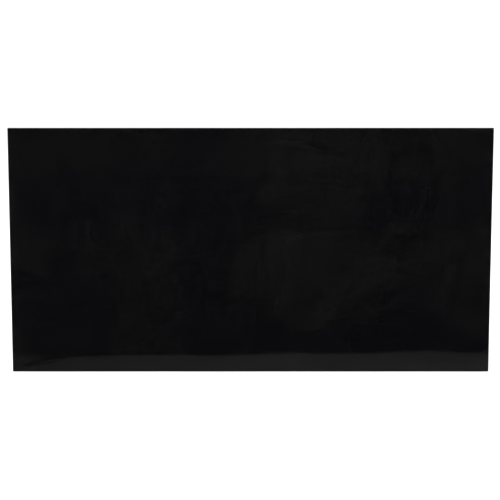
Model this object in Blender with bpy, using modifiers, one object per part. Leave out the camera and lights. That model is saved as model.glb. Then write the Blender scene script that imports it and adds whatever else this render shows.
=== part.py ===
"""A door kick plate: an undrilled gloss-black plastic sheet that is stuck on with foam tape.

The plate is drawn as it is sold. A clear masking film covers its face, seven strips of foam tape are
stuck to its back, and each strip still has its release liner, with a tab to pull it off by.

Frame, in metres: X runs across the door, -Y is the face that is seen, and +Z is up. The origin is in
the middle of the door side, on the outer face of the middle strip's liner.
"""

import math

import bmesh
import bpy

INCH = 0.0254

# The door sets the width of the plate, and the height is a stock size.
DOOR_WIDTH = 36 * INCH
LESS_THAN_DOOR = 1 * INCH
PLATE_WIDTH = DOOR_WIDTH - LESS_THAN_DOOR
PLATE_HEIGHT = 18 * INCH
PLATE_THICKNESS = INCH / 8
CORNER_RADIUS = 0.0015
CORNER_SEGMENTS = 4
FACE_BEVEL = 0.0008
BACK_BEVEL = 0.0003
BEVEL_SEGMENTS = 2

# The thin layers, and the clearance left between any two of them.
FILM_THICKNESS = 0.00008
TAPE_THICKNESS = 0.0011
LINER_THICKNESS = 0.00013
LAYER_GAP = 0.00005

# The tape is a frame of two rails with uprights between them.
TAPE_WIDTH = 0.75 * INCH
TAPE_INSET = 0.010
UPRIGHT_COUNT = 5
END_GAP = 0.010
TAB_LENGTH = 0.008
TAB_RADIUS = 0.003
TAB_ARC_STEPS = 4

# The layers are stacked from the door outwards, towards -Y.
LINER_FRONT = -LINER_THICKNESS
TAPE_BACK = LINER_FRONT - LAYER_GAP
TAPE_FRONT = TAPE_BACK - TAPE_THICKNESS
PLATE_BACK = TAPE_FRONT - LAYER_GAP
PLATE_FRONT = PLATE_BACK - PLATE_THICKNESS
FILM_BACK = PLATE_FRONT - LAYER_GAP
FILM_FRONT = FILM_BACK - FILM_THICKNESS

RAIL_LENGTH = PLATE_WIDTH - 2 * TAPE_INSET
RAIL_HEIGHT = PLATE_HEIGHT / 2 - TAPE_INSET - TAPE_WIDTH / 2
UPRIGHT_LENGTH = 2 * (RAIL_HEIGHT - TAPE_WIDTH / 2 - END_GAP)
UPRIGHT_SPACING = (RAIL_LENGTH - TAPE_WIDTH) / (UPRIGHT_COUNT - 1)

# Colours are linear RGB.
PLATE_BLACK = (0.005, 0.005, 0.0055)
FILM_CLEAR = (0.80, 0.84, 0.86)
FOAM_GREY = (0.055, 0.058, 0.062)
LINER_RED = (0.62, 0.030, 0.022)


def clear_scene():
    for thing in list(bpy.data.objects):
        bpy.data.objects.remove(thing)


def new_collection(name):
    collection = bpy.data.collections.new(name)
    bpy.context.scene.collection.children.link(collection)
    return collection


def new_material(name, colour, roughness, alpha=1.0):
    material = bpy.data.materials.new(name)
    material.use_nodes = True
    shader = material.node_tree.nodes["Principled BSDF"]
    shader.inputs["Base Color"].default_value = (*colour, 1.0)
    shader.inputs["Roughness"].default_value = roughness
    shader.inputs["Metallic"].default_value = 0.0
    shader.inputs["Alpha"].default_value = alpha
    return material


def place(thing, material, collection, parent):
    """Gives a part its material, its collection and its parent."""
    thing.data.materials.append(material)
    for old in list(thing.users_collection):
        old.objects.unlink(thing)
    collection.objects.link(thing)
    thing.parent = parent
    return thing


def new_box(name, size, centre):
    bpy.ops.mesh.primitive_cube_add(size=1, location=centre)
    thing = bpy.context.object
    thing.name = name
    thing.scale = size
    bpy.ops.object.transform_apply(location=False, rotation=False, scale=True)
    return thing


def round_corners(thing, radius, segments):
    """Rounds the four edges of a box that run front to back."""
    mesh = bmesh.new()
    mesh.from_mesh(thing.data)
    upright = [e for e in mesh.edges if abs((e.verts[0].co - e.verts[1].co).normalized().y) > 0.99]
    bmesh.ops.bevel(
        mesh, geom=upright, offset=radius, segments=segments, profile=0.5, affect="EDGES"
    )
    mesh.to_mesh(thing.data)
    mesh.free()


def weigh_rims(thing, front_weight, back_weight):
    """Marks the rim of the front face and of the back face for a Bevel modifier."""
    mesh = bmesh.new()
    mesh.from_mesh(thing.data)
    weights = mesh.edges.layers.float.new("bevel_weight_edge")
    for edge in mesh.edges:
        first, second = edge.verts
        if abs(first.co.y - second.co.y) > 1e-6:
            continue
        edge[weights] = front_weight if first.co.y < 0 else back_weight
    mesh.to_mesh(thing.data)
    mesh.free()


def make_plate(material, collection, parent):
    """The rigid sheet: rounded corners, a polished bevel round the face and a broken edge behind."""
    middle = (PLATE_FRONT + PLATE_BACK) / 2
    plate = new_box("plate", (PLATE_WIDTH, PLATE_THICKNESS, PLATE_HEIGHT), (0, middle, 0))
    round_corners(plate, CORNER_RADIUS, CORNER_SEGMENTS)
    weigh_rims(plate, 1.0, BACK_BEVEL / FACE_BEVEL)
    bevel = plate.modifiers.new("rims", "BEVEL")
    bevel.limit_method = "WEIGHT"
    bevel.width = FACE_BEVEL
    bevel.segments = BEVEL_SEGMENTS
    bevel.loop_slide = False
    return place(plate, material, collection, parent)


def make_film(material, collection, parent):
    """The masking film, trimmed where the plate's bevel begins."""
    width = PLATE_WIDTH - 2 * FACE_BEVEL
    height = PLATE_HEIGHT - 2 * FACE_BEVEL
    middle = (FILM_FRONT + FILM_BACK) / 2
    film = new_box("face_film", (width, FILM_THICKNESS, height), (0, middle, 0))
    round_corners(film, CORNER_RADIUS - FACE_BEVEL, CORNER_SEGMENTS)
    return place(film, material, collection, parent)


def tabbed_outline(length):
    """The outline of a liner along its own X: square at the low end, with a round-cornered tab."""
    half = TAPE_WIDTH / 2
    low, high = -length / 2, length / 2 + TAB_LENGTH
    points = [(low, -half)]
    for side, start in ((-1, -math.pi / 2), (1, 0)):
        centre = (high - TAB_RADIUS, side * (half - TAB_RADIUS))
        for step in range(TAB_ARC_STEPS + 1):
            angle = start + step / TAB_ARC_STEPS * math.pi / 2
            points.append(
                (
                    centre[0] + TAB_RADIUS * math.cos(angle),
                    centre[1] + TAB_RADIUS * math.sin(angle),
                )
            )
    points.append((low, half))
    return points


def make_tape(name, length, centre, turn, material, collection, parent):
    """A strip of foam tape, lying along X before it is turned about Y."""
    x, z = centre
    tape = new_box(name, (length, TAPE_THICKNESS, TAPE_WIDTH), (x, (TAPE_BACK + TAPE_FRONT) / 2, z))
    tape.rotation_euler.y = turn
    return place(tape, material, collection, parent)


def make_liner(name, length, centre, turn, material, collection, parent):
    """The release liner of one strip: a flat outline, extruded through its thickness."""
    outline = tabbed_outline(length)
    curve = bpy.data.curves.new(name, "CURVE")
    curve.dimensions = "2D"
    curve.fill_mode = "BOTH"
    curve.extrude = LINER_THICKNESS / 2
    spline = curve.splines.new("POLY")
    spline.points.add(len(outline) - 1)
    for point, (along, across) in zip(spline.points, outline):
        point.co = (along, across, 0, 1)
    spline.use_cyclic_u = True
    liner = bpy.data.objects.new(name, curve)
    x, z = centre
    liner.location = (x, LINER_FRONT / 2, z)
    liner.rotation_euler = (math.pi / 2, turn, 0)
    bpy.context.scene.collection.objects.link(liner)
    return place(liner, material, collection, parent)


def strips():
    """Each strip of tape as its name, its length, its centre (x, z) and its turn about Y."""
    yield "top", RAIL_LENGTH, (0, RAIL_HEIGHT), 0
    yield "bottom", RAIL_LENGTH, (0, -RAIL_HEIGHT), 0
    for number in range(UPRIGHT_COUNT):
        x = (number - (UPRIGHT_COUNT - 1) / 2) * UPRIGHT_SPACING
        yield f"upright_{number + 1}", UPRIGHT_LENGTH, (x, 0), -math.pi / 2


def build():
    clear_scene()
    collection = new_collection("kick_plate")
    root = bpy.data.objects.new("kick_plate_origin", None)
    collection.objects.link(root)
    plate_black = new_material("plate_black", PLATE_BLACK, 0.06)
    film_clear = new_material("film_clear", FILM_CLEAR, 0.10, alpha=0.12)
    foam_grey = new_material("foam_grey", FOAM_GREY, 0.85)
    liner_red = new_material("liner_red", LINER_RED, 0.28)
    make_plate(plate_black, collection, root)
    make_film(film_clear, collection, root)
    for name, length, centre, turn in strips():
        make_tape(f"tape_{name}", length, centre, turn, foam_grey, collection, root)
        make_liner(f"liner_{name}", length, centre, turn, liner_red, collection, root)


build()
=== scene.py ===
import math
import random

import bpy
import numpy as np
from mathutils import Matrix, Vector


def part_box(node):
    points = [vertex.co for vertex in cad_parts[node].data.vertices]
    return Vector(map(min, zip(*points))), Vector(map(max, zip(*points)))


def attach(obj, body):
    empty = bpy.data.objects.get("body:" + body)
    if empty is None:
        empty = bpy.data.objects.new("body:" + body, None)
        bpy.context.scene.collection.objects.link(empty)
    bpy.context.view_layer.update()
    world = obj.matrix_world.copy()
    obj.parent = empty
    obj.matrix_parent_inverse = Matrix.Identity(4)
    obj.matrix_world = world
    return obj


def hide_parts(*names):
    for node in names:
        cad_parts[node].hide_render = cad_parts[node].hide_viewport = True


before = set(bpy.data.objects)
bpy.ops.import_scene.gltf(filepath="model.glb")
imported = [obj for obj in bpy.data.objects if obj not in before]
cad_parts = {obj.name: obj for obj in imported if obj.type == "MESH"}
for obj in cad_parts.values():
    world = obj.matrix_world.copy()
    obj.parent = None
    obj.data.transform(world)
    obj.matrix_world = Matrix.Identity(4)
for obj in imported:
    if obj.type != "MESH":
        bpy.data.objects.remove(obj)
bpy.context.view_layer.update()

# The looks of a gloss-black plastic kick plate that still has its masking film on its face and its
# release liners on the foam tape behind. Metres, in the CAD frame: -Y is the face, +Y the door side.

PLATE_LOW, PLATE_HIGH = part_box("plate")
FILM_LOW, FILM_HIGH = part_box("face_film")
ORIGIN = Vector((0, 0, 0))

# The sheet: rounded corners, a bevel round the face and a broken edge round the back.
CORNER_RADIUS = 0.0015
CORNER_STEPS = 5
FACE_BEVEL = 0.0008
BACK_BEVEL = 0.0003
BEVEL_STEPS = 3
SHEET_CELL = 0.005

# Long shallow waves in the sheet's face, which the film follows.
WAVE_COUNT = 9
WAVE_LENGTHS = (0.075, 0.260)
WAVE_SLOPE = 0.0036
WAVE_HEIGHT_SHARES = (0.6, 1.4)
WAVE_SEED = 5

# The film's crease at the lower left, from one (x, z) to another. Its lower ridge, -1, and its upper
# one, 1, part at a share of its length and meet again at its end.
CREASE_START = Vector((-0.4290, -0.2205))
CREASE_END = Vector((-0.3440, -0.2030))
CREASE_HEIGHTS = {-1: 0.0010, 1: 0.0008}
CREASE_HALF_WIDTH = 0.0032
CREASE_SPREAD = 0.0030
CREASE_PARTS_AT = 0.2
CREASE_STEEPNESS = 2.5

# The film's lifted corner at the top right, its loose left edge, and the band of painted shade at its
# cut edge.
CORNER_LIFT = 0.0016
CORNER_REACH = 0.034
EDGE_LIFT = 0.00030
EDGE_REACH = 0.010
FILM_RIM = 0.0010

# Low blisters under the film, as (x, z, radius, height).
BLISTERS = [
    (0.093, -0.185, 0.013, 0.00013),
    (-0.140, -0.184, 0.009, 0.00005),
    (0.330, -0.180, 0.020, 0.00012),
    (-0.300, 0.120, 0.006, 0.00010),
    (0.215, 0.050, 0.008, 0.00012),
    (-0.020, 0.185, 0.007, 0.00010),
]

# The film's grid is finer left of and below one (x, z), for the crease, and right of and above another,
# for the lifted corner.
CREASE_ZONE = (-0.325, -0.190)
CREASE_CELL = (0.0015, 0.0007)
CORNER_ZONE = (0.400, 0.188)
CORNER_CELL = 0.002

# The strips of foam tape. Their cut sides are tucked in at both faces, and waver along the strip.
STRIP_SEED = 21
FOAM_STEP = 0.004
FOAM_TUCK = 0.00022
FOAM_WAVER = 0.00004
FOAM_WAVE_NUMBERS = (95, 233)

# The release liners: faint waves along the strip, and a tab that curls away from the tape.
LINER_STEP = 0.003
LINER_ACROSS = 8
LINER_WAVE_COUNT = 3
LINER_WAVE_LENGTHS = (0.024, 0.110)
LINER_WAVE_HEIGHT = 0.00008
LINER_WAVE_SKEW = 0.8
TAB_RADIUS = 0.003
TAB_STEP = 0.001
TAB_ROUND_STEP = 0.0005
TAB_CURL = 0.0016
TAB_CURL_SHARES = (0.6, 1.3)
TAB_TWIST = 0.25

# Linear RGBA of the face's black and of the light painted into it, from its darkest and bluest painted
# reflection to its palest streak, with the place of each between the lowest and the highest tone.
TONE_RANGE = (-2.0, 3.0)
FACE_AND_REFLECTION_TONES = [
    (0.10, (0.00264, 0.00267, 0.00330, 1.0)),
    (0.33, (0.00303, 0.00306, 0.00350, 1.0)),
    (0.42, (0.00352, 0.00354, 0.00354, 1.0)),
    (0.60, (0.00394, 0.00395, 0.00392, 1.0)),
    (1.00, (0.00508, 0.00510, 0.00502, 1.0)),
]
# Painted reflections: soft clouds of mirrored light and shade in that black, as (x, z, half width,
# half height, tone). A tone of 1 is one faint step lighter than the ground, and -1 one step darker and
# bluer. Soft noise drifts their outlines about.
PAINTED_REFLECTIONS = [
    (0.115, 0.150, 0.160, 0.130, 1.0),
    (0.120, -0.030, 0.160, 0.150, 1.0),
    (0.080, 0.170, 0.080, 0.050, 0.7),
    (0.080, 0.000, 0.090, 0.050, 0.7),
    (0.380, 0.170, 0.110, 0.090, 0.2),
    (0.400, 0.000, 0.090, 0.060, 0.5),
    (-0.090, 0.110, 0.075, 0.160, -1.1),
    (-0.085, -0.080, 0.080, 0.180, -1.2),
    (-0.030, -0.160, 0.120, 0.060, -0.8),
    (-0.345, 0.090, 0.120, 0.070, -0.6),
    (0.000, 0.098, 0.950, 0.075, -0.8),
    (-0.350, -0.110, 0.130, 0.120, -1.0),
    (0.275, 0.070, 0.070, 0.060, -1.4),
    (0.275, -0.100, 0.070, 0.060, -1.2),
    (0.270, -0.165, 0.240, 0.055, -1.6),
]
REFLECTION_DRIFT = 0.16
# Faint lighter streaks, in the same form.
LIGHTER_STREAKS = [
    (0.0740, 0.2010, 0.0370, 0.0058, 3.2),
    (0.0740, 0.0230, 0.0370, 0.0058, 3.2),
    (0.1110, -0.0200, 0.0345, 0.0040, 2.2),
    (0.0480, 0.1560, 0.0245, 0.0034, 1.8),
    (-0.3900, 0.1340, 0.0046, 0.0160, 2.2),
    (-0.3900, -0.0430, 0.0046, 0.0185, 2.2),
    (-0.0750, 0.1620, 0.0074, 0.0222, 1.8),
    (-0.0750, -0.0100, 0.0074, 0.0271, 1.8),
    (-0.4280, 0.1630, 0.0148, 0.0247, 1.8),
    (-0.4280, -0.0150, 0.0148, 0.0247, 2.0),
    (0.4360, 0.1780, 0.0086, 0.0173, 2.4),
    (0.4380, 0.0010, 0.0086, 0.0173, 2.6),
]
# Where a painted reflection and a streak fade in, from the rim at 0 to the middle at 1.
REFLECTION_EDGE = (0.10, 0.42)
STREAK_EDGE = (0.0, 0.80)
# A painted highlight: the paler margin at the face's left edge, from where it begins to where it is
# full.
HIGHLIGHT_MARGIN = (-0.430, -0.437)
HIGHLIGHT_MARGIN_TONE = 1.2

POLISHED = 0.045
ACRYLIC_IOR = 1.49
FOAM_IOR = 1.47
LINER_IOR = 1.51

# How much the film mirrors when it is seen square on, and how much more when it is seen edge on.
FILM_SHINE = 0.060
FILM_SHINE_RISE = 0.45
FILM_CLARITY = 0.990

# The floor, and the apron: a pale strip of it in front of the plate, which the foot mirrors. The
# apron's outer edge is farther from the plate towards the right, and turns out a little at the left.
FLOOR_Z = PLATE_LOW.z - 0.0002
FLOOR_WIDTH = 60.0
FLOOR_PALENESS = 0.90
APRON_Z = FLOOR_Z + 0.0001
APRON_SIZE = (2.0, 0.6)
APRON_REACH = 0.158
APRON_SLANT = 0.055
APRON_TURN_OUT = [(-0.45, 0.009), (-0.34, 0.0)]
APRON_SOFT_EDGE = 0.030
# Its strength, as (x, strength), is raised near the plate, as (distance in from the outer edge,
# factor). Its outer part is dimmed at the right, as (x, share added).
APRON_LEVELS = [(-0.46, 0.025), (-0.31, 0.048), (0.05, 0.066)]
APRON_NEAR_PLATE = [(0.05, 1.0), (0.15, 1.10)]
APRON_OUTER_PART = 0.13
APRON_RIGHT_DIMMING = [(0.15, 0.0), (0.45, -0.34)]

# Soft cards that are seen only in reflections, as (name, width, height, place, strength).
CARDS = [
    ("quarter_card", 1.5, 1.3, (-1.75, -1.45, -0.80), 0.21),
    ("far_quarter_card", 1.5, 1.3, (1.75, -1.45, -0.80), 0.17),
    ("front_card", 2.0, 1.2, (0.75, -2.2, 0.78), 0.15),
    ("back_card", 1.0, 0.9, (1.65, 1.55, -0.45), 1.2),
    ("far_back_card", 1.0, 0.9, (-1.65, 1.55, -0.45), 1.2),
]
# Square area lights, as (name, side, place, power).
LIGHTS = [
    ("key", 1.8, (-0.5, -2.8, 3.0), 150),
    ("fill", 1.6, (1.8, 1.6, 2.2), 35),
]
WORLD_STRENGTH = 1.15

# The camera looks straight at the face from a little above, and far enough away for the plate's two
# sides to look almost parallel.
VIEW_DISTANCE = 3.380
VIEW_PITCH = math.radians(10.07)
VIEW_LENS = 131.7
VIEW_AIM = Vector((-0.00114, PLATE_LOW.y, 0.0023))


# ---------------------------------------------------------------- node materials


class Shader:
    """A material's node tree, built node by node. An input takes a number, a colour or a socket."""

    def __init__(self, name):
        self.material = bpy.data.materials.new(name)
        self.material.use_nodes = True
        self.nodes = self.material.node_tree.nodes
        self.links = self.material.node_tree.links
        self.nodes.clear()
        self.end = self.nodes.new("ShaderNodeOutputMaterial")
        self.place = self.node("TexCoord").outputs["Object"]

    def node(self, kind, inputs=None, **settings):
        made = self.nodes.new("ShaderNode" + kind)
        for name, value in settings.items():
            setattr(made, name, value)
        for name, value in (inputs or {}).items():
            self.feed(made.inputs[name], value)
        return made

    def feed(self, socket, value):
        if isinstance(value, bpy.types.NodeSocket):
            self.links.new(value, socket)
        else:
            socket.default_value = value

    def math(self, operation, first, second=0.0, third=0.0, clamp=False):
        inputs = {0: first, 1: second, 2: third}
        return self.node("Math", inputs, operation=operation, use_clamp=clamp).outputs[0]

    def axes(self, vector=None):
        """The X, Y and Z of a vector, which is the place on the object if none is given."""
        return self.node("SeparateXYZ", {0: vector or self.place}).outputs

    def stretched(self, scale, turn=(0, 0, 0)):
        """The place on the object, turned and then scaled along each axis."""
        inputs = {"Vector": self.place, "Rotation": turn, "Scale": scale}
        return self.node("Mapping", inputs).outputs[0]

    def noise(self, scale, detail=2.0, roughness=0.5, vector=None):
        inputs = {
            "Vector": vector or self.place,
            "Scale": scale,
            "Detail": detail,
            "Roughness": roughness,
        }
        return self.node("TexNoise", inputs).outputs["Fac"]

    def between(self, value, low, high, to_low=0.0, to_high=1.0, smooth=False):
        """value, mapped from low..high to to_low..to_high and held there."""
        inputs = {
            "Value": value,
            "From Min": low,
            "From Max": high,
            "To Min": to_low,
            "To Max": to_high,
        }
        kind = "SMOOTHSTEP" if smooth else "LINEAR"
        return self.node("MapRange", inputs, interpolation_type=kind).outputs["Result"]

    def swing(self, noise, low=0.0, high=1.0):
        """Noise made to run from low to high. Nearly all of it lies between 0.3 and 0.7 at first."""
        return self.between(noise, 0.3, 0.7, low, high)

    def along(self, value, stops):
        """The height at value of a line through (value, height) stops, level beyond its ends."""
        height = stops[0][1]
        for (low, low_height), (high, high_height) in zip(stops, stops[1:]):
            climb = self.between(value, low, high, 0.0, high_height - low_height)
            height = self.math("ADD", climb, height)
        return height

    def mix(self, share, first, second):
        """A number between two numbers."""
        return self.node("Mix", {"Factor": share, "A": first, "B": second}).outputs[0]

    def blend(self, share, first, second):
        """A colour between two colours."""
        mixed = self.node("Mix", {"Factor": share}, data_type="RGBA")
        self.feed(mixed.inputs[6], first)
        self.feed(mixed.inputs[7], second)
        return mixed.outputs[2]

    def bump(self, height, distance, strength):
        inputs = {"Height": height, "Distance": distance, "Strength": strength}
        return self.node("Bump", inputs).outputs["Normal"]

    def finish(self, surface):
        self.links.new(surface.outputs[0], self.end.inputs["Surface"])
        return self.material


def grey(level):
    return (level, level, level, 1.0)


def tone_of(shader, patches, place, edge):
    """The sum of soft-edged round patches at a place, which is a vector socket."""
    total = 0.0
    for x, z, half_width, half_height, tone in patches:
        inputs = {
            "Vector": place,
            "Location": (-x / half_width, 0.0, -z / half_height),
            "Scale": (1 / half_width, 0.0, 1 / half_height),
        }
        centred = shader.node("Mapping", inputs).outputs[0]
        ball = shader.node("TexGradient", {"Vector": centred}, gradient_type="SPHERICAL")
        patch = shader.between(ball.outputs["Fac"], *edge, smooth=True)
        total = shader.math("MULTIPLY_ADD", patch, tone, total)
    return total


def drifted(shader, amount):
    """The place on the object, pushed about by soft noise."""
    noise = shader.node("TexNoise", {"Vector": shader.place, "Scale": 11.0, "Detail": 4.0})
    centre = {0: noise.outputs["Color"], 1: (0.5, 0.5, 0.5)}
    shift = shader.node("VectorMath", centre, operation="SUBTRACT").outputs[0]
    push = {0: shift, 1: (amount, 0.0, amount), 2: shader.place}
    return shader.node("VectorMath", push, operation="MULTIPLY_ADD").outputs[0]


def face_colour_and_reflections(shader):
    """The black of the polished face, with painted reflections, lighter streaks, a painted highlight at
    its left edge and the haze of a wiped sheet.
    """
    mottle = shader.noise(24.0, 2.5)
    # Painted reflections: soft clouds of mirrored light and shade.
    reflection_clouds = tone_of(shader, PAINTED_REFLECTIONS, drifted(shader, REFLECTION_DRIFT), REFLECTION_EDGE)
    lighter_streaks = tone_of(shader, LIGHTER_STREAKS, shader.place, STREAK_EDGE)
    tone = shader.math("ADD", reflection_clouds, lighter_streaks)
    # Painted highlight: a paler margin along the face's left edge.
    painted_highlight = shader.between(shader.axes()["X"], *HIGHLIGHT_MARGIN, 0.0, HIGHLIGHT_MARGIN_TONE, smooth=True)
    tone = shader.math("ADD", tone, shader.math("ADD", shader.swing(mottle, -0.5, 0.5), painted_highlight))
    ramp = shader.node("ValToRGB", {"Fac": shader.between(tone, *TONE_RANGE)})
    stops = ramp.color_ramp.elements
    for stop, (position, colour) in zip(stops, (FACE_AND_REFLECTION_TONES[0], FACE_AND_REFLECTION_TONES[-1])):
        stop.position = position
        stop.color = colour
    for position, colour in FACE_AND_REFLECTION_TONES[1:-1]:
        stops.new(position).color = colour
    wiped = shader.noise(1.0, 2.0, 0.5, shader.stretched((9.0, 1.0, 75.0)))
    haze = shader.math("MULTIPLY", shader.swing(mottle, 0.89, 1.11), shader.swing(wiped, 0.93, 1.07))
    hazed = {0: ramp.outputs["Color"], "Scale": haze}
    return shader.node("VectorMath", hazed, operation="SCALE").outputs[0]


def satin_back(shader):
    """The colour and the roughness of the satin back, which is marked by handling and by dust."""
    rubbed = shader.stretched((26.0, 26.0, 190.0), turn=(0, 0.35, 0))
    marks = shader.between(shader.noise(1.0, 5.0, 0.65, rubbed), 0.56, 0.74)
    dust = shader.between(shader.noise(420.0, 1.0), 0.70, 0.78)
    worn = shader.math("ADD", shader.math("MULTIPLY", marks, 0.45), dust, clamp=True)
    wiped = shader.between(shader.noise(7.0, 3.0, 0.6), 0.35, 0.65)
    satin = shader.blend(wiped, grey(0.0060), grey(0.0110))
    colour = shader.blend(shader.math("MULTIPLY", worn, 0.8), satin, grey(0.034))
    return colour, shader.between(marks, 0.0, 1.0, 0.36, 0.50)


def plate_material():
    """Black acrylic: a polished face, a satin back and finely milled edges."""
    shader = Shader("black_acrylic")
    facing = shader.axes(shader.node("NewGeometry").outputs["Normal"])["Y"]
    front = shader.between(facing, -0.80, -0.95)
    back = shader.between(facing, 0.80, 0.95)

    milling = shader.noise(1.0, 3.0, 0.6, shader.stretched((1500.0, 60.0, 1500.0)))
    edge_colour = shader.blend(shader.noise(900.0, 1.0), grey(0.0025), grey(0.0060))
    edge_rough = shader.swing(milling, 0.16, 0.34)
    back_colour, back_rough = satin_back(shader)

    colour = shader.blend(front, edge_colour, face_colour_and_reflections(shader))
    colour = shader.blend(back, colour, back_colour)
    rough = shader.mix(front, edge_rough, POLISHED)
    rough = shader.mix(back, rough, back_rough)
    relief = shader.mix(back, milling, shader.noise(2600.0, 2.0, 0.6))
    relief = shader.math("MULTIPLY", relief, shader.math("SUBTRACT", 1.0, front))
    inputs = {
        "Base Color": colour,
        "Roughness": rough,
        "IOR": ACRYLIC_IOR,
        "Specular IOR Level": 0.20,
        "Normal": shader.bump(relief, 0.00004, 0.6),
    }
    return shader.finish(shader.node("BsdfPrincipled", inputs))


def film_material():
    """Clear film: what is behind it shows, and it mirrors more the flatter it is seen."""
    shader = Shader("clear_film")
    facing = shader.node("LayerWeight", {"Blend": 0.5}).outputs["Facing"]
    rise = shader.math("POWER", facing, 5.0)
    shine = shader.math("MULTIPLY_ADD", rise, FILM_SHINE_RISE, FILM_SHINE)
    peel = shader.bump(shader.noise(55.0, 1.0), 0.00004, 0.35)
    mirror = shader.node("BsdfGlossy", {"Color": grey(1.0), "Roughness": 0.07, "Normal": peel})
    clear = shader.node("BsdfTransparent", {"Color": grey(FILM_CLARITY)})
    inputs = {0: shine, 1: clear.outputs[0], 2: mirror.outputs[0]}
    return shader.finish(shader.node("MixShader", inputs))


def film_edge_shade_material():
    """Painted shade at the film's cut edge: a thin dark line on the clear film, which shows where there
    is nothing dark behind it.
    """
    shader = Shader("film_edge")
    cover = shader.swing(shader.noise(90.0, 2.0), 0.42, 0.60)
    clear = shader.node("BsdfTransparent", {"Color": grey(FILM_CLARITY)})
    # Painted shade: a dark band that stands for the dark line of the film's cut edge.
    cut = shader.node("BsdfDiffuse", {"Color": grey(0.004)})
    inputs = {0: cover, 1: clear.outputs[0], 2: cut.outputs[0]}
    return shader.finish(shader.node("MixShader", inputs))


def foam_material():
    """Dark grey closed-cell foam, with fine pores and slightly tacky faces."""
    shader = Shader("acrylic_foam")
    cells = shader.node("TexVoronoi", {"Vector": shader.place, "Scale": 2600.0})
    pores = shader.between(cells.outputs["Distance"], 0.0, 0.55)
    colour = shader.blend(pores, grey(0.030), (0.075, 0.078, 0.082, 1.0))
    colour = shader.blend(shader.swing(shader.noise(60.0, 3.0), 0.0, 0.35), colour, grey(0.055))
    facing = shader.axes(shader.node("NewGeometry").outputs["Normal"])["Y"]
    face = shader.between(shader.math("ABSOLUTE", facing), 0.85, 0.98)
    inputs = {
        "Base Color": colour,
        "Roughness": shader.mix(face, 0.88, 0.42),
        "IOR": FOAM_IOR,
        "Normal": shader.bump(pores, 0.00008, 0.7),
    }
    return shader.finish(shader.node("BsdfPrincipled", inputs))


def liner_material():
    """Red release film: semi-gloss, slightly uneven in its colour and its surface."""
    shader = Shader("release_liner")
    uneven = shader.swing(shader.noise(35.0, 4.0, 0.6))
    inputs = {
        "Base Color": shader.blend(uneven, (0.30, 0.008, 0.008, 1.0), (0.45, 0.014, 0.012, 1.0)),
        "Roughness": shader.swing(shader.noise(700.0, 2.0), 0.09, 0.16),
        "IOR": LINER_IOR,
        "Normal": shader.bump(shader.noise(160.0, 3.0), 0.00012, 0.5),
    }
    return shader.finish(shader.node("BsdfPrincipled", inputs))


# ---------------------------------------------------------------- shapes


def sheet_waves():
    """Long shallow waves as (wave number along x, wave number along z, height, phase)."""
    draw = random.Random(WAVE_SEED)
    waves = []
    for _ in range(WAVE_COUNT):
        length = draw.uniform(*WAVE_LENGTHS)
        heading = draw.uniform(0, math.pi)
        number = 2 * math.pi / length
        share = math.sqrt(2 / WAVE_COUNT) * draw.uniform(*WAVE_HEIGHT_SHARES)
        phase = draw.uniform(0, 2 * math.pi)
        height = WAVE_SLOPE / number * share
        waves.append((number * math.cos(heading), number * math.sin(heading), height, phase))
    return waves


WAVES = sheet_waves()


def sheet_rise(x, z):
    """How far the sheet's face stands out of its mean plane, at arrays of x and z."""
    rise = 0.0
    for along_x, along_z, height, phase in WAVES:
        rise = rise + height * np.sin(along_x * x + along_z * z + phase)
    return rise


def crease_rise(x, z):
    """Two fine ridges that part and meet again, like the lips of a pinch in the film."""
    along = CREASE_END - CREASE_START
    length = along.length
    along = along / length
    share = ((x - CREASE_START.x) * along.x + (z - CREASE_START.y) * along.y) / length
    across = (z - CREASE_START.y) * along.x - (x - CREASE_START.x) * along.y
    fade = np.clip(CREASE_STEEPNESS * np.sin(np.pi * np.clip(share, 0, 1)), 0, 1)
    parted = np.clip((share - CREASE_PARTS_AT) / (1 - CREASE_PARTS_AT), 0, 1)
    apart = CREASE_SPREAD * np.sin(np.pi * parted)
    rise = 0.0
    for side, height in CREASE_HEIGHTS.items():
        ridge = height * np.exp(-(((across - side * apart) / CREASE_HALF_WIDTH) ** 2))
        rise = np.maximum(rise, ridge)
    return fade * rise


def film_rise(x, z):
    """How far the film stands off the sheet: crease, lifted corner, loose edge and blisters."""
    to_corner = ((FILM_HIGH.x - x) + (FILM_HIGH.z - z)) / CORNER_REACH
    lift = CORNER_LIFT * np.clip(1 - to_corner, 0, 1) ** 2
    to_edge = (x - FILM_LOW.x) / EDGE_REACH
    loose = EDGE_LIFT * np.clip(1 - to_edge, 0, 1) ** 2
    blister = 0.0
    for at_x, at_z, radius, height in BLISTERS:
        square = ((x - at_x) ** 2 + (z - at_z) ** 2) / radius**2
        blister = blister + height * np.exp(-square)
    return crease_rise(x, z) + lift + loose + blister


def new_piece(name, points, faces, material, body, replaced, smooth_angle=30):
    mesh = bpy.data.meshes.new(name)
    mesh.from_pydata(points, [], faces)
    mesh.materials.append(material)
    mesh.validate()
    mesh.shade_smooth()
    mesh.set_sharp_from_angle(angle=math.radians(smooth_angle))
    piece = bpy.data.objects.new(name, mesh)
    bpy.context.scene.collection.objects.link(piece)
    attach(piece, body)
    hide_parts(replaced)
    return piece


def lines(*zones):
    """Grid lines over zones of (low, high, spacing) that follow one another."""
    made = [zones[0][0]]
    for low, high, spacing in zones:
        count = max(1, round((high - low) / spacing))
        made += [low + (high - low) * (i + 1) / count for i in range(count)]
    return np.array(made)


def grid_faces(rows, columns):
    """The quads of a grid whose points are numbered row by row."""
    faces = []
    for row in range(rows - 1):
        for column in range(columns - 1):
            low = row * columns + column
            faces.append((low, low + 1, low + columns + 1, low + columns))
    return faces


def flipped(faces, offset=0):
    """Faces turned inside out, with offset added to the numbers of their points."""
    return [tuple(offset + i for i in reversed(face)) for face in faces]


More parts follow.
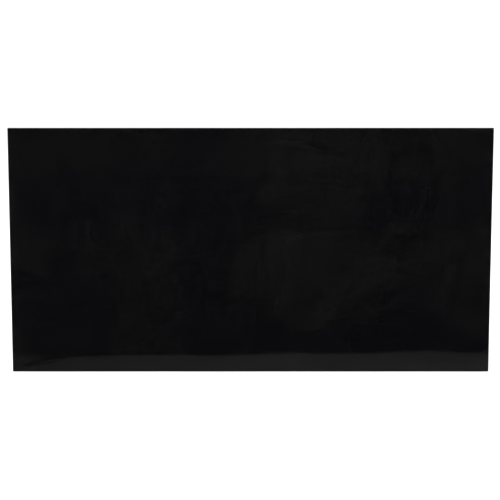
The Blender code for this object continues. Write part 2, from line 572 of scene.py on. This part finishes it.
def closed_sheet(front, back):
    """Points and faces of a thin closed sheet from two grids of points, (rows, columns, 3)."""
    rows, columns = front.shape[:2]
    points = np.concatenate([front.reshape(-1, 3), back.reshape(-1, 3)])
    behind = rows * columns
    faces = grid_faces(rows, columns)
    faces += flipped(faces, behind)

    numbers = np.arange(behind).reshape(rows, columns)
    rim = [*numbers[0], *numbers[1:, -1], *numbers[-1, -2::-1], *numbers[-2:0:-1, 0]]
    rim = [int(i) for i in rim]
    for here, there in zip(rim, rim[1:] + rim[:1]):
        faces.append((there, here, behind + here, behind + there))
    return points, faces


def make_film():
    """The masking film: a closed sheet as thick as its CAD solid, which follows the sheet's waves."""
    crease_x, crease_z = CREASE_ZONE
    corner_x, corner_z = CORNER_ZONE
    left, right = FILM_LOW.x + FILM_RIM, FILM_HIGH.x - FILM_RIM
    top = FILM_HIGH.z - FILM_RIM
    xs = lines(
        (FILM_LOW.x, left, FILM_RIM),
        (left, crease_x, CREASE_CELL[0]),
        (crease_x, corner_x, SHEET_CELL),
        (corner_x, right, CORNER_CELL),
        (right, FILM_HIGH.x, FILM_RIM),
    )
    zs = lines(
        (FILM_LOW.z, crease_z, CREASE_CELL[1]),
        (crease_z, corner_z, SHEET_CELL),
        (corner_z, top, CORNER_CELL),
        (top, FILM_HIGH.z, FILM_RIM),
    )
    x, z = np.meshgrid(xs, zs)
    rise = sheet_rise(x, z) + film_rise(x, z)
    front = np.stack([x, FILM_LOW.y - rise, z], axis=2)
    back = np.stack([x, FILM_HIGH.y - rise, z], axis=2)
    points, faces = closed_sheet(front, back)
    film = new_piece(
        "masking_film", points, faces, film_material(), "film", "face_film"
    )
    # The painted shade of the cut edge is drawn at the sides and the top. At the foot it would darken
    # the mirrored apron.
    film.data.materials.append(film_edge_shade_material())
    for face in film.data.polygons:
        x, _, z = face.center
        face.material_index = int(x < left or x > right or z > top)


def plate_rings():
    """The sheet's rim as rings of (distance out from the corner centres, y), from face to back."""
    for step in range(BEVEL_STEPS + 1):
        share = step / BEVEL_STEPS
        turn = share * math.pi / 2
        # A slightly crowned bevel: half way between a flat one and a quarter round.
        out = (share + math.sin(turn)) / 2
        deep = (share + 1 - math.cos(turn)) / 2
        yield CORNER_RADIUS - FACE_BEVEL * (1 - out), PLATE_LOW.y + FACE_BEVEL * deep
    yield CORNER_RADIUS, PLATE_HIGH.y - BACK_BEVEL
    yield CORNER_RADIUS - BACK_BEVEL, PLATE_HIGH.y


def plate_spokes(rows, columns):
    """The ways out from the border of the sheet's grid, as (point of the grid, out x, out z).

    They go anticlockwise, as the face is seen, and fan out at each corner point.
    """
    border = [(0, c, 0, -1) for c in range(columns)]
    border += [(r, columns - 1, 1, 0) for r in range(rows)]
    border += [(rows - 1, c, 0, 1) for c in range(columns - 1, -1, -1)]
    border += [(r, 0, -1, 0) for r in range(rows - 1, -1, -1)]
    spokes = []
    for (row, column, out_x, out_z), after in zip(border, border[1:] + border[:1]):
        root = row * columns + column
        spokes.append((root, out_x, out_z))
        if (row, column) == after[:2]:
            start = math.atan2(out_z, out_x)
            for step in range(1, CORNER_STEPS):
                angle = start + step / CORNER_STEPS * math.pi / 2
                spokes.append((root, math.cos(angle), math.sin(angle)))
    return spokes


def make_plate():
    """The rigid sheet: a fine grid on its face and back, joined by the rings of its rim."""
    xs = lines((PLATE_LOW.x + CORNER_RADIUS, PLATE_HIGH.x - CORNER_RADIUS, SHEET_CELL))
    zs = lines((PLATE_LOW.z + CORNER_RADIUS, PLATE_HIGH.z - CORNER_RADIUS, SHEET_CELL))
    columns, rows = len(xs), len(zs)
    x, z = np.meshgrid(xs, zs)
    face = np.stack([x, PLATE_LOW.y - sheet_rise(x, z), z], axis=2).reshape(-1, 3)
    back = np.stack([x, np.full(x.shape, PLATE_HIGH.y), z], axis=2).reshape(-1, 3)
    points = [*face, *back]
    behind = rows * columns
    faces = grid_faces(rows, columns)
    faces += flipped(faces, behind)

    spokes = plate_spokes(rows, columns)
    roots = [root for root, _, _ in spokes]
    chains = [roots]
    for out, y in plate_rings():
        first = len(points)
        share = (PLATE_HIGH.y - y) / (PLATE_HIGH.y - PLATE_LOW.y)
        for root, out_x, out_z in spokes:
            at_x = face[root][0] + out_x * out
            at_z = face[root][2] + out_z * out
            points.append((at_x, y - share * float(sheet_rise(at_x, at_z)), at_z))
        chains.append([first + i for i in range(len(spokes))])
    chains.append([behind + root for root in roots])
    for inner, outer in zip(chains, chains[1:]):
        for i in range(len(spokes)):
            j = (i + 1) % len(spokes)
            # Where two spokes share a root, the face next to it is a triangle.
            faces.append(tuple(dict.fromkeys((outer[i], outer[j], inner[j], inner[i]))))
    new_piece("black_plate", points, faces, plate_material(), "plate", "plate")


def strip_axes(low, high):
    """For a strip's box: the axis it runs along and the one across it, 0 for X and 2 for Z."""
    return (0, 2) if high.x - low.x > high.z - low.z else (2, 0)


def make_foam(strip, material, draw):
    """A strip of foam tape: its cut sides bulge a little between the two adhesive faces."""
    node = f"tape_{strip}"
    low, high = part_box(node)
    long_way, wide_way = strip_axes(low, high)
    middle = (low[wide_way] + high[wide_way]) / 2
    half = (high[wide_way] - low[wide_way]) / 2
    thickness = high.y - low.y
    profile = [(-1, 0.0), (-1, 0.5), (-1, 1.0), (0, 1.0), (1, 1.0), (1, 0.5), (1, 0.0), (0, 0.0)]
    stations = lines((low[long_way], high[long_way], FOAM_STEP))
    phases = [draw.uniform(0, 2 * math.pi) for _ in range(4)]
    points = []
    for station in stations:
        for side, deep in profile:
            waver = 2.0
            for number, phase in zip(FOAM_WAVE_NUMBERS, phases[:2] if side < 0 else phases[2:]):
                waver += math.sin(station * number + phase)
            tuck = FOAM_TUCK * (1 - math.sin(math.pi * deep)) + FOAM_WAVER * waver
            point = [0.0, low.y + thickness * deep, 0.0]
            point[long_way] = station
            point[wide_way] = middle + side * (half - tuck)
            points.append(point)
    count = len(profile)
    faces = []
    for ring in range(len(stations) - 1):
        for i in range(count):
            j = (i + 1) % count
            a, b = ring * count + i, ring * count + j
            faces.append((a, b, b + count, a + count))
    last = (len(stations) - 1) * count
    faces.append(tuple(range(count - 1, -1, -1)))
    faces.append(tuple(last + i for i in range(count)))
    if long_way == 2:
        faces = flipped(faces)
    new_piece(f"foam_{strip}", points, faces, material, "plate", node, 50)


def make_liner(strip, material, draw):
    """A release liner: faintly wavy along its strip, with a round-cornered tab that curls up."""
    node = f"liner_{strip}"
    low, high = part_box(node)
    long_way, wide_way = strip_axes(low, high)
    start, end = low[long_way], high[long_way]
    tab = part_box(f"tape_{strip}")[1][long_way]
    rounding = end - TAB_RADIUS
    middle = (low[wide_way] + high[wide_way]) / 2
    half = (high[wide_way] - low[wide_way]) / 2
    stations = lines(
        (start, tab, LINER_STEP), (tab, rounding, TAB_STEP), (rounding, end, TAB_ROUND_STEP)
    )
    across = np.linspace(-1, 1, LINER_ACROSS + 1)
    along, side = np.meshgrid(stations, across, indexing="ij")
    past = np.clip(along - rounding, 0, TAB_RADIUS)
    narrow = half - TAB_RADIUS + np.sqrt(np.maximum(TAB_RADIUS**2 - past**2, 0))

    rise = np.zeros(along.shape)
    for _ in range(LINER_WAVE_COUNT):
        number = 2 * math.pi / draw.uniform(*LINER_WAVE_LENGTHS)
        phase = draw.uniform(0, 6.28)
        skew = draw.uniform(-LINER_WAVE_SKEW, LINER_WAVE_SKEW)
        rise += LINER_WAVE_HEIGHT * (1 + np.sin(number * along + phase + side * skew))
    curl = TAB_CURL * draw.uniform(*TAB_CURL_SHARES)
    curl = curl * (np.clip(along - tab, 0, None) / (end - tab)) ** 2
    rise += curl * (1 + TAB_TWIST * side * draw.choice((-1, 1)))

    def surface(y):
        grid = np.zeros((*along.shape, 3))
        grid[..., long_way] = along
        grid[..., wide_way] = middle + side * narrow
        grid[..., 1] = y + rise
        return grid

    points, faces = closed_sheet(surface(low.y), surface(high.y))
    if long_way == 0:
        faces = flipped(faces)
    new_piece(f"release_{node}", points, faces, material, node, node, 40)


# ---------------------------------------------------------------- stage


def stage_plane(name, width, depth, material):
    mesh = bpy.data.meshes.new(name)
    w, d = width / 2, depth / 2
    mesh.from_pydata([(-w, -d, 0), (w, -d, 0), (w, d, 0), (-w, d, 0)], [], [(0, 1, 2, 3)])
    mesh.materials.append(material)
    plane = bpy.data.objects.new(name, mesh)
    bpy.context.scene.collection.objects.link(plane)
    return plane


def only_in_reflections(thing):
    thing.visible_camera = False
    thing.visible_diffuse = False
    thing.visible_transmission = False
    thing.visible_volume_scatter = False
    thing.visible_shadow = False


def turned_to_origin(place, front):
    """The rotation that turns an object's own front axis from a place to the origin."""
    return (ORIGIN - Vector(place)).to_track_quat(front, "Y").to_euler()


def glow_material(name, strength):
    """Plain light. strength is a function that makes it, a number or a socket, from the shader."""
    shader = Shader(name)
    return shader.finish(
        shader.node("Emission", {"Color": grey(1.0), "Strength": strength(shader)})
    )


def make_floor():
    shader = Shader("pale_floor")
    material = shader.finish(shader.node("BsdfDiffuse", {"Color": grey(FLOOR_PALENESS)}))
    floor = stage_plane("floor", FLOOR_WIDTH, FLOOR_WIDTH, material)
    floor.location = (0, 0, FLOOR_Z)
    floor.visible_glossy = False


def apron_strength(shader):
    """The apron's light: soft at its outer edge, and uneven along it and across it."""
    x, y, _ = shader.axes()
    outer = shader.math("MULTIPLY_ADD", x, -APRON_SLANT, -APRON_REACH)
    inside = shader.math("SUBTRACT", y, outer)
    inside = shader.math("ADD", inside, shader.along(x, APRON_TURN_OUT))
    soft = shader.between(inside, 0.0, APRON_SOFT_EDGE, smooth=True)
    level = shader.math("MULTIPLY", soft, shader.along(x, APRON_LEVELS))
    level = shader.math("MULTIPLY", level, shader.along(inside, APRON_NEAR_PLATE))
    outwards = shader.between(inside, APRON_OUTER_PART, 0.0)
    dimmed = shader.along(x, APRON_RIGHT_DIMMING)
    return shader.math("MULTIPLY", level, shader.math("MULTIPLY_ADD", outwards, dimmed, 1.0))


def make_apron():
    apron = stage_plane("apron", *APRON_SIZE, glow_material("apron_light", apron_strength))
    apron.location = (0, 0, APRON_Z)
    only_in_reflections(apron)


def make_card(name, width, height, place, strength):
    """A soft card that faces the origin and fades out towards its own edges."""

    def fading(shader):
        x, y, _ = shader.axes()
        over_x = shader.between(shader.math("ABSOLUTE", x), width / 2, width / 4, smooth=True)
        over_y = shader.between(shader.math("ABSOLUTE", y), height / 2, height / 4, smooth=True)
        return shader.math("MULTIPLY", shader.math("MULTIPLY", over_x, over_y), strength)

    card = stage_plane(name, width, height, glow_material(name + "_light", fading))
    card.location = place
    card.rotation_euler = turned_to_origin(place, "Z")
    only_in_reflections(card)


def make_light(name, side, place, power):
    light = bpy.data.lights.new(name, "AREA")
    light.shape = "SQUARE"
    light.size = side
    light.energy = power
    lamp = bpy.data.objects.new(name, light)
    lamp.location = place
    lamp.rotation_euler = turned_to_origin(place, "-Z")
    bpy.context.scene.collection.objects.link(lamp)


def make_world():
    """An even white world, which lights the scene but isn't mirrored in it."""
    world = bpy.data.worlds.new("studio")
    world.use_nodes = True
    background = world.node_tree.nodes["Background"]
    background.inputs["Color"].default_value = grey(1.0)
    background.inputs["Strength"].default_value = WORLD_STRENGTH
    world.cycles_visibility.glossy = False
    bpy.context.scene.world = world


def make_camera():
    data = bpy.data.cameras.new("camera")
    data.lens = VIEW_LENS
    data.sensor_width = 36.0
    data.clip_end = 100.0
    camera = bpy.data.objects.new("camera", data)
    back = Vector((0, -math.cos(VIEW_PITCH), math.sin(VIEW_PITCH)))
    camera.location = VIEW_AIM + back * VIEW_DISTANCE
    camera.rotation_euler = (math.pi / 2 - VIEW_PITCH, 0, 0)
    bpy.context.scene.collection.objects.link(camera)
    bpy.context.scene.camera = camera


def build():
    make_plate()
    make_film()
    draw = random.Random(STRIP_SEED)
    foam, liner = foam_material(), liner_material()
    for node in sorted(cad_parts):
        if node.startswith("tape_"):
            strip = node.removeprefix("tape_")
            make_foam(strip, foam, draw)
            make_liner(strip, liner, draw)
    make_floor()
    make_apron()
    for card in CARDS:
        make_card(*card)
    for light in LIGHTS:
        make_light(*light)
    make_world()
    make_camera()
    bpy.context.scene.view_settings.view_transform = "Standard"


build()
